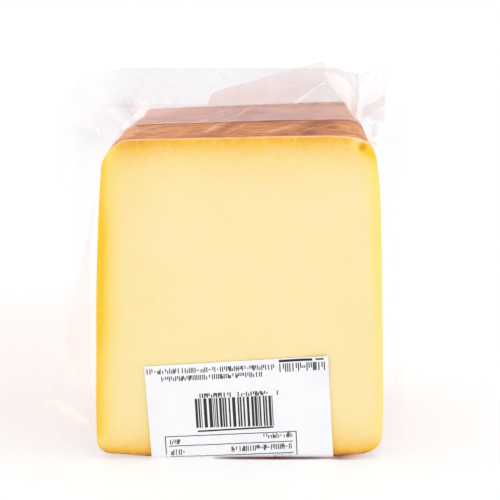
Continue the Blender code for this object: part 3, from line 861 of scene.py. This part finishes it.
def filmMaterial(name):
    look = filmFinishes[name]
    b = Board(name)
    [z] = b.axes("Z")
    folds = b.noise(0.0060, 4, 0.5, 0.8)
    ripple = b.noise(0.0016, 3, 0.5)
    normal = b.bump(folds * 0.8 + ripple * 0.2, look["wrinkle"], 0.0005)
    gleam, blush, veil = b.layers(*filmTones)
    veilColour, veilOverRind, veilAtFloor = look["veil"]
    reflectionAndShadeHigh, reflectionAndShadeLow = look["blush"]
    overRind = z.between(0.099, 0.103) * z.between(0.1068, 0.1084, 1.0, 0.0)
    haze = b.mixColour(overRind, b.mixColour(z.between(0.030, 0.090), veilAtFloor, veilColour), veilOverRind)
    # painted reflection and shade colours, then the painted highlight
    colour = b.mixColour(blush, haze, b.mixColour(z.between(0.040, 0.100), reflectionAndShadeLow, reflectionAndShadeHigh))
    colour = b.mixColour(gleam.between(0.0, 0.5), colour, look["gleam"])
    # painted glow: emission for light passed on from behind, more near the floor
    passedOn = b.mixColour(z.between(0.030, 0.098, 0.0, 0.88), colour, (0, 0, 0, 1))
    gloss = b.node("ShaderNodeBsdfPrincipled", None, {
        "Base Color": colour, "Roughness": 0.14, "IOR": 1.5, "Normal": normal, "Specular IOR Level": look["shine"],
        "Emission Color": passedOn, "Emission Strength": look["lift"],
    })
    clear = b.node("ShaderNodeBsdfTransparent", None, {"Color": film["tint"]})
    edge = b.node("ShaderNodeFresnel", None, {"IOR": look["edgeIndex"], "Normal": normal})
    behind = b.node("ShaderNodeNewGeometry", output="Backfacing")    # a sheet is thin, so only its near side counts
    share = edge * (veil * 2 + look["base"]) * look["edgeGain"] + blush * look["reflectionAndShadeGain"] + gleam * 0.75 + veil
    return b.finish(b.node("ShaderNodeMixShader", None, {0: share * (1 - behind), 1: clear, 2: gloss}))


# Folds of the tight film: wall, then along and y of each point, width, height, how light its crest is painted (a
# painted highlight), how dark its foot is painted (painted shade) and, for a fold that stands off the cheese, how hazy
# it is
pleats = [
    ("top", [(-39.0, -30.0), (-34.8, -23.3), (-25.9, -11.1), (-18.2, -6.1)], 4.6, 0.45, 0.55, 0.4),
    ("top", [(-35.2, -17.7), (-29.5, -12.5), (-23.8, -7.0)], 3.2, 0.4, 0.50, 0.3),
    ("top", [(-33.4, -30.2), (-29.0, -28.0), (-21.0, -24.5), (-15.0, -20.0)], 2.6, 0.4, 0.52, 0.4),
    ("top", [(-13.4, -33.6), (-9.8, -22.4), (-6.6, -11.4), (-2.3, -3.2)], 5.8, 0.6, 0.62, 0.4),
    ("top", [(-5.8, -33.0), (-2.4, -22.8), (1.0, -12.9), (4.0, -4.0)], 2.6, 0.4, 0.50, 0.4),
    ("top", [(6.0, -32.5), (14.1, -19.5), (19.7, -10.5), (23.7, -5.1)], 5.4, 0.6, 0.58, 0.5),
    ("top", [(15.8, -32.0), (21.2, -23.5), (26.2, -11.9)], 2.4, 0.4, 0.45, 0.4),
    ("top", [(35.0, -24.0), (33.0, -16.5), (29.0, -7.7)], 3.6, 0.45, 0.50, 0.3),
    ("top", [(35.0, -28.6), (32.8, -25.0), (29.0, -19.0)], 2.2, 0.4, 0.50, 0.0),
    ("front", [(32.6, 102.9), (36.0, 102.4), (39.5, 101.7), (42.0, 101.2)], 2.3, 0.2, 1.33, 0.0),
    ("top", [(32.2, -31.9), (34.0, -32.3), (35.6, -32.3), (37.2, -31.8)], 3.0, 0.3, 1.10, 0.0),
    ("top", [(39.5, -29.0), (38.6, -24.0), (37.6, -18.0), (36.4, -11.0)], 3.6, 0.8, 0.45, 0.0),
    ("top", [(-37.4, -33.6), (-36.4, -29.0), (-35.2, -23.0), (-33.6, -12.0)], 7.4, 2.8, 0.12, 0.0, 0.58),
    ("top", [(-24.6, 1.0), (-17.1, 4.5), (-10.7, 11.4), (-6.0, 23.8), (-0.9, 32.0)], 4.6, 0.6, 0.95, 0.5),
    ("top", [(-5.0, 0.0), (-1.0, 10.3), (2.8, 26.2), (4.7, 32.5)], 3.6, 0.6, 0.90, 0.5),
    ("top", [(1.0, 0.0), (4.5, 12.0), (9.0, 32.4)], 2.4, 0.5, 0.60, 0.4),
    ("top", [(-32.7, 13.0), (-26.3, 6.8), (-21.5, 5.0)], 2.8, 0.5, 0.90, 0.4),
    ("top", [(12.7, 0.0), (20.8, 14.1), (26.7, 32.5)], 3.2, 0.5, 0.60, 0.5),
    # painted shadow and reflection: dark film where there is only shade, under the block's right foot and under the
    # label
    ("floor", [(26.2, -33.6), (31.0, -33.8), (37.2, -33.7), (43.0, -32.8)], 5.2, 0.4, 0.0, 0.95, 1.05),
    ("floor", [(-9.0, -34.7), (10.0, -34.9), (30.4, -34.8)], 2.3, 0.2, 0.0, 1.90),
    ("left", [(92.0, -3.0), (86.0, -18.0), (70.0, -33.0)], 2.6, 0.5, 0.36, 0.5),
    ("left", [(82.0, -3.0), (79.0, -16.0), (76.0, -33.0)], 2.2, 0.4, 0.30, 0.5),
    ("left", [(62.0, -3.0), (56.0, -18.0), (54.0, -33.0)], 3.0, 0.4, 0.26, 0.4),
    ("left", [(38.0, -3.0), (34.0, -18.0), (26.0, -33.0)], 2.6, 0.5, 0.34, 0.5),
    ("left", [(20.0, -5.0), (18.0, -17.0), (14.0, -33.0)], 2.6, 0.5, 0.36, 0.5),
    ("left", [(90.0, 1.0), (82.0, 16.0), (66.0, 32.0)], 2.6, 0.5, 0.36, 0.5),
    ("left", [(56.0, 1.0), (50.0, 15.0), (47.0, 32.0)], 2.4, 0.4, 0.28, 0.4),
    ("left", [(24.0, 1.0), (28.0, 15.0), (26.0, 32.0)], 2.6, 0.5, 0.34, 0.5),
    ("right", [(93.0, -3.0), (88.0, -17.0), (72.0, -33.0)], 2.6, 0.5, 0.36, 0.5),
    ("right", [(70.0, -3.0), (62.0, -17.0), (58.0, -33.0)], 2.4, 0.4, 0.30, 0.5),
    ("right", [(43.0, -3.0), (40.0, -17.0), (42.0, -33.0)], 3.0, 0.4, 0.26, 0.4),
    ("right", [(23.0, -5.0), (20.0, -17.0), (13.0, -33.0)], 2.6, 0.5, 0.34, 0.5),
    ("right", [(92.0, 1.0), (80.0, 16.0), (70.0, 32.0)], 2.6, 0.5, 0.36, 0.5),
    ("right", [(48.0, 1.0), (40.0, 15.0), (38.0, 32.0)], 2.4, 0.4, 0.28, 0.4),
]

pleat = {
    "steps": 40,
    "sway": 0.0005,
    "frontY": -0.0353,      # where the film bridges from the top to a cut face, beside an upper corner
    "floorZ": 0.0002,
    "section": [            # across a fold: place from its far side to its near side, height, painted highlight, painted shade
        (-1.0, -0.08, 0.0, 0.0), (-0.60, 0.25, 0.25, 0.0), (-0.26, 0.76, 0.70, 0.0), (0.0, 1.0, 1.0, 0.0),
        (0.26, 0.84, 0.75, 0.0), (0.52, 0.36, 0.20, 0.5), (0.78, 0.06, 0.0, 1.0), (1.0, -0.08, 0.0, 0.1),
        (0.5, -0.40, 0.0, 0.0), (-0.5, -0.40, 0.0, 0.0),
    ],
}


def wallPoint(wall, along, y):    # a point of the tight film on one wall, and the wall's outward direction
    if wall == "floor":    # in front of the lower edge
        return Vector((along, y, pleat["floorZ"])), Vector((0, 0, 1))
    if wall == "front":    # here y stands for the height
        return Vector((along, pleat["frontY"], y)), Vector((0, -1, 0))
    radius = block["edgeRadius"]
    over = min(radius * 0.98, max(0.0, abs(y) - block["depth"] / 2 + radius))    # how far round the cut face's edge
    turned, sunk = math.asin(over / radius), radius - math.sqrt(radius ** 2 - over ** 2)
    if wall == "top":
        sign, height = -1 if along < 0 else 1, block["height"]
        corner = block["corners"][(sign, 1)]
        past = min(corner * 0.99, max(0.0, abs(along) - (sideReach(height - corner, sign) - corner)))
        drop = corner - math.sqrt(corner ** 2 - past ** 2)
        outward = Vector((sign * past / corner - block["topSlope"], 0, 1 - drop / corner)).normalized()
        base = settle(along, y, height - drop)
    else:
        sign = -1 if wall == "left" else 1
        outward = Vector((sign, 0, 0.1)).normalized()
        base = settle(sign * sideReach(along, sign), y, along)
    base += outward * (film["skin"] + blockRelief(base.x, base.y, base.z) - sunk)
    return base, outward * math.cos(turned) + Vector((0, math.copysign(math.sin(turned), y), 0))


def smoothRoute(route, share):    # a soft curve through the points
    place = share * (len(route) - 1)
    i = min(int(place), len(route) - 2)
    t = place - i
    before, here, there, after = route[max(i - 1, 0)], route[i], route[i + 1], route[min(i + 2, len(route) - 1)]
    return [0.5 * (2 * b + (c - a) * t + (2 * a - 5 * b + 4 * c - d) * t * t + (3 * b - a - 3 * c + d) * t ** 3)
            for a, b, c, d in zip(before, here, there, after)]


def foldPlaces(number, wall, route):    # along and y of each step, and how much the fold swells there
    steps, places = pleat["steps"], []
    unevenness = 0.08 if wall == "floor" else 0.5
    for step in range(steps + 1):
        share = step / steps
        along, y = smoothRoute(route, share)
        along += pleat["sway"] * noise.noise(Vector((share * 5, number * 3.1, 0.2)))
        swell = math.sin(math.pi * share) ** 0.5 if 0 < step < steps else 0.0
        swell *= 0.75 + unevenness * noise.noise(Vector((share * 7, number * 1.7, 4)))
        places.append((Vector((along, y)), max(0.02, swell)))
    return places


def makeFold(number, wall, route, width, rise, light, dark, haze=0.0):
    # a bar with the fold's section, cut into steps that are then laid along its route
    steps, section, onFloor = pleat["steps"], pleat["section"], wall == "floor"
    places = foldPlaces(number, wall, [(along * mm, y * mm) for along, y in route])
    deselectAll()
    bpy.ops.mesh.primitive_cylinder_add(vertices=len(section), radius=1, depth=1, end_fill_type="NGON")
    fold = bpy.context.object
    bpy.ops.object.mode_set(mode="EDIT")
    selectEdges(fold, lambda a, b: abs(a.z - b.z) > 0.5)
    bpy.ops.mesh.subdivide(number_cuts=steps - 1)
    bpy.ops.object.mode_set(mode="OBJECT")
    gleam, blush, veil = paintLayers(fold, *filmTones)
    for vert in fold.data.vertices:
        step = round((vert.co.z + 0.5) * steps)
        corner = round(math.atan2(vert.co.x, vert.co.y) / math.tau * len(section)) % len(section)
        offset, lift, lightness, darkness = section[corner]
        place, swell = places[step]
        ahead = (places[min(step + 1, steps)][0] - places[max(step - 1, 0)][0]).normalized()
        sideways = Vector((-ahead.y, ahead.x)) if ahead.x < 0 else Vector((ahead.y, -ahead.x))    # towards the front
        beside = sideways * offset * width * mm / 2 * (0.45 + 0.55 * swell)
        point, outward = wallPoint(wall, *(place + beside))
        vert.co = point + outward * rise * mm * lift * swell
        shown, along = min(1.0, swell), step / steps
        if onFloor:    # painted shadow, dark from side to side, and where it is hazy, at one end only
            darkness = smoothStep(0.85, 0.30, along) if haze else 1.0
        # painted highlight on the crest, painted shade at the foot
        gleam[vert.index].value = light * lightness * shown
        blush[vert.index].value = dark * darkness * shown
        veil[vert.index].value = haze * shown * (min(1.0, 3 * along) * (1 - along) if onFloor else 1.0)
    return fold


def makePleats():
    piece = joinPieces([makeFold(number, *fold) for number, fold in enumerate(pleats)], "film_pleats")
    outwardFaces(piece)
    return piece


def paintEdgeLine(piece):    # a painted highlight: the film's thin bright line along the top of the cut faces
    [gleam] = paintLayers(piece, "gleam")
    for vert in piece.data.vertices:
        x, y, z = vert.co
        onRing = smoothStep(0.00040, 0.00012, abs(abs(y) - block["depth"] / 2 + 0.0008))
        patchy = 0.90 + 0.7 * noise.noise(Vector((x / 0.007, 0.4, 2.0)))
        gleam[vert.index].value = onRing * smoothStep(0.098, 0.1005, z) * min(1.0, max(0.0, patchy))


wrapPiece = makeBlock("film_wrap", film["skin"])
paintEdgeLine(wrapPiece)
finishPiece(wrapPiece, filmMaterial("clearFilm"))
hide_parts("vacuum_bag")
pleatPiece = makePleats()
finishPiece(pleatPiece, filmMaterial("pleatFilm"), sharpAngle=60)
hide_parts("vacuum_bag")
marginPiece = makeMargin()
finishPiece(marginPiece, filmMaterial("marginFilm"), sharpAngle=28)
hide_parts("vacuum_bag")
lipPiece = makeLip()
finishPiece(lipPiece, filmMaterial("lipFilm"), sharpAngle=28)
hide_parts("vacuum_bag")
print("film made:", len(marginPiece.data.vertices), "vertices in the margin")


def wrapOnBlock(across, down, lift):
    # a point of the flat label, drawn onto the front face and round the bottom edge
    foldHeight, turned = label["foldHeight"], label["turn"]
    x = label["centreX"] + across * math.cos(turned) + down * math.sin(turned)
    drop = down * math.cos(turned) - across * math.sin(turned) - (label["topHeight"] - foldHeight)
    surface, radius = block["depth"] / 2 + lift, block["edgeRadius"] + lift
    arc = radius * math.pi / 2
    if drop <= 0:
        z = foldHeight - drop
        return Vector((x, -surface - crownAt(max(0.0, cornerDistance(x, z))), z))
    if drop < arc:
        turn = drop / radius
        return Vector((x, -surface + radius * (1 - math.cos(turn)), foldHeight - radius * math.sin(turn)))
    return Vector((x, -surface + radius + drop - arc, foldHeight - radius))


def labelPoint(across, down, lift):
    curl = label["curl"] * smoothStep(label["curlSize"], 0.0, math.hypot(label["width"] / 2 - across, down))
    return wrapOnBlock(across, down, label["lift"] + lift + curl)


def makePaper():
    deselectAll()
    bpy.ops.mesh.primitive_grid_add(x_subdivisions=46, y_subdivisions=130, size=1)
    paper = bpy.context.object
    paper.name = "label_paper"
    roundEdge = (block["edgeRadius"] + label["lift"]) * math.pi / 2
    length = label["topHeight"] - label["foldHeight"] + roundEdge + label["under"]
    moveVerts(paper, lambda p: labelPoint(p.x * label["width"], (0.5 - p.y) * length, 0.0))
    outwardFaces(paper)
    front = [face for face in paper.data.polygons if face.center.y < -0.034 and face.center.z > 0.01]
    outward = sum(face.normal.y for face in front) < 0
    thick = paper.modifiers.new("paper", "SOLIDIFY")
    thick.thickness = label["thickness"]
    thick.offset = 1.0 if outward else -1.0
    applyModifiers(paper)
    return paper


def paperMaterial():
    b = Board("labelPaper")
    fibre = b.noise(0.0009, 3, 0.6)
    cloud = b.noise(0.012, 3, 0.5)
    colour = b.mixColour(cloud.between(0.35, 0.7), label["paper"], label["paperCloud"])
    sheet = b.node("ShaderNodeBsdfPrincipled", None, {
        "Base Color": colour, "Roughness": fibre.between(0.3, 0.7, 0.42, 0.52), "Normal": b.bump(fibre, 0.12, 0.0001),
    })
    return b.finish(sheet)


def inkMaterial():
    b = Board("labelInk")
    patchy = b.noise(0.0005, 2, 0.5)
    colour = b.mixColour(patchy.between(0.35, 0.7), label["ink"], label["inkWorn"])
    return b.finish(b.node("ShaderNodeBsdfPrincipled", None, {"Base Color": colour, "Roughness": 0.5}))


# Plain upright strokes and short dashes, which spell nothing. For each row: left, right, top and bottom in photo pixels
# from the label's top left corner, the step from stroke to stroke, the share of dashes and how much the row slants
strokeRows = [
    (1.0, 130.0, 3.0, 8.2, 3.9, 0.07, 0.018), (16.0, 117.0, 11.2, 16.2, 3.9, 0.07, 0.006),
    (133.0, 181.0, 5.0, 13.4, 4.3, 0.04, 0.0), (53.0, 85.0, 30.2, 34.8, 4.6, 0.0, 0.016),
    (90.0, 123.0, 30.8, 35.4, 4.6, 0.0, 0.016), (129.0, 133.0, 31.6, 36.0, 4.6, 0.0, 0.0),
    (20.5, 31.0, 75.4, 80.4, 3.6, 0.0, 0.0), (114.0, 144.0, 74.8, 79.8, 3.4, 0.1, 0.0),
    (21.0, 36.0, 85.6, 91.6, 3.8, 0.0, 0.0), (82.0, 143.0, 86.0, 91.6, 3.6, 0.1, 0.0),
    (124.0, 143.0, 97.0, 100.0, 3.6, 0.1, 0.0),
]
printBars = {
    "left": 48.2, "right": 125.2, "top": 35.2, "bottom": 64.8, "topSlant": 0.016, "bottomSlant": 0.030,
    "widths": [0.80, 0.80, 1.60, 1.60, 2.40, 3.20], "gaps": [0.80, 0.80, 1.60, 2.10],
}
printLines = {    # the table's lines, as left, top and right, each in short parts that follow the slant
    "places": [(15.8, 71.7, 148.2), (19.5, 81.6, 144.4), (19.5, 93.2, 144.4)],
    "parts": 8, "slant": 0.017, "thickness": 0.8,
}
printBlocks = [(134.0, 1.2, 167.2, 3.6), (170.5, 1.4, 178.5, 3.0)]    # these three as left, top, right and bottom
printRule = (49.4, 67.6, 125.4, 69.2)
printSides = [(15.8, 71.7, 16.7, 98.5), (147.4, 73.8, 148.3, 98.5)]


def inkShapes():    # rectangles as left, top, right and bottom
    draw = random.Random(8)
    shapes = list(printBlocks)
    for left, right, top, bottom, step, dashes, slant in strokeRows:
        u, tall, thick = left, bottom - top, step * 0.25
        while u < right - step * 0.5:
            v = top + slant * (u - left)
            if draw.random() >= dashes:
                for place in draw.choice([(0.04, 0.56), (0.04, 0.34, 0.64), (0.10, 0.60), (0.30,)]):
                    high = v + tall * draw.choice([0.0, 0.0, 0.0, 0.35])
                    low = v + tall * draw.choice([1.0, 1.0, 1.0, 0.65])
                    shapes.append((u + place * step, high, u + place * step + thick, low))
            else:
                shapes.append((u + 0.1 * step, v + 0.42 * tall, u + 0.7 * step, v + 0.60 * tall))
            u += step
    bars, lines = printBars, printLines
    u = bars["left"]
    while u < bars["right"]:
        width, along = draw.choice(bars["widths"]), u - bars["left"]
        end = min(u + width, bars["right"] + 0.6)
        shapes.append((u, bars["top"] + bars["topSlant"] * along, end, bars["bottom"] + bars["bottomSlant"] * along))
        u += width + draw.choice(bars["gaps"])
    shapes.append(printRule)
    for left, v, right in lines["places"]:
        for i in range(lines["parts"]):
            start, end = [mixNumbers(left, right, k / lines["parts"]) for k in (i, i + 1)]
            sunk = v + lines["slant"] * (start + end - 2 * left) / 2
            shapes.append((start, sunk, end, sunk + lines["thickness"]))
    return shapes + printSides


def makePrint():
    # each shape is a thin plane, cut small enough to follow the paper, all in one piece
    deselectAll()
    piece = None
    for left, top, right, bottom in inkShapes():
        middle = ((left + right) / 2, -(top + bottom) / 2, 0)
        across, down = max(1, math.ceil((right - left) / 10)), max(1, math.ceil((bottom - top) / 3))
        bpy.ops.mesh.primitive_grid_add(x_subdivisions=across, y_subdivisions=down, size=1, location=middle)
        if piece is None:
            piece = bpy.context.object
            piece.name = "label_print"
            bpy.ops.object.transform_apply(location=True, rotation=False, scale=False)
            bpy.ops.object.mode_set(mode="EDIT")
        bpy.ops.transform.resize(value=(right - left, bottom - top, 1), center_override=middle)
    bpy.ops.object.mode_set(mode="OBJECT")
    pixel, stretch, skew = label["pixel"], label["stretch"], label["skew"]
    left, lift = label["width"] / 2, label["thickness"] + label["inkLift"]
    moveVerts(piece, lambda p: labelPoint((p.x + skew * p.y) * pixel - left, -p.y * pixel * stretch, lift))
    return piece


paperPiece = makePaper()
finishPiece(paperPiece, paperMaterial(), sharpAngle=30)
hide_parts("price_label")
printPiece = makePrint()
finishPiece(printPiece, inkMaterial())
print("label made:", len(printPiece.data.polygons), "print faces")


studio = {
    "frame": 500,           # pixels from side to side
    "focal": 1500,          # in the same pixels
    "sensor": 36,
    "distance": 0.481,
    "height": 0.180,
    "pitch": math.radians(14.05),
    "x": 0.0032,
    "world": (1.0, 1.0, 1.0, 1.0),
    "worldStrength": 0.99,
    "floorSize": 14,
    "floor": (0.948, 0.948, 0.948, 1),
    "floorShade": (0.918, 0.868, 0.845, 1),     # a breath darker at the left
    "floorLight": 0.60,     # how much of the floor's white comes from below, as on a light table
    "lamps": [              # name, place, looks at, width, height, watts
        ("overhead", (0.25, -0.10, 0.95), (0, 0, 0.05), 0.50, 0.50, 1.10),
        ("left", (-0.80, -0.35, 0.60), (0, 0, 0.08), 0.06, 0.60, 0.35),
        ("right", (0.85, -0.25, 0.60), (0, 0, 0.08), 0.06, 0.60, 0.45),
        ("front", (0.30, -1.3, 0.70), (0, 0, 0.05), 0.60, 0.40, 0.40),
    ],
}


def makeStudio():
    deselectAll()
    bpy.ops.mesh.primitive_plane_add(size=studio["floorSize"], location=(0, 0, 0))
    floor = bpy.context.object
    floor.name = "studio_floor"
    bpy.ops.object.transform_apply(location=True, rotation=True, scale=True)
    b = Board("paleFloor")
    x, y = b.axes("XY")
    shade = x.between(-0.04, -0.08) * y.between(-0.06, 0.02) * y.between(0.09, 0.20, 1.0, 0.0)
    colour = b.mixColour(shade, studio["floor"], studio["floorShade"])
    floor.data.materials.append(b.finish(b.node("ShaderNodeBsdfPrincipled", None, {
        "Base Color": b.mixColour(1 - studio["floorLight"], (0, 0, 0, 1), colour), "Roughness": 0.7,
        "Emission Color": colour, "Emission Strength": studio["floorLight"],
    })))

    world = bpy.data.worlds.new("studio")
    bpy.context.scene.world = world
    world.use_nodes = True
    background = world.node_tree.nodes["Background"]
    background.inputs[0].default_value = studio["world"]
    background.inputs[1].default_value = studio["worldStrength"]

    for name, place, target, width, height, watts in studio["lamps"]:
        deselectAll()
        bpy.ops.object.light_add(type="AREA", location=place)
        lamp = bpy.context.object
        lamp.name = name
        lamp.data.shape, lamp.data.size, lamp.data.size_y, lamp.data.energy = "RECTANGLE", width, height, watts
        lamp.rotation_euler = (Vector(target) - Vector(place)).to_track_quat("-Z", "Y").to_euler()

    deselectAll()
    bpy.ops.object.camera_add(location=(studio["x"], -studio["distance"], studio["height"]))
    camera = bpy.context.object
    camera.rotation_euler = (math.pi / 2 - studio["pitch"], 0, 0)
    camera.data.sensor_width = studio["sensor"]
    camera.data.lens = studio["sensor"] * studio["focal"] / studio["frame"]
    camera.data.clip_start, camera.data.clip_end = 0.01, 60
    bpy.context.scene.camera = camera
    bpy.context.scene.view_settings.view_transform = "Standard"


makeStudio()
print("studio made")
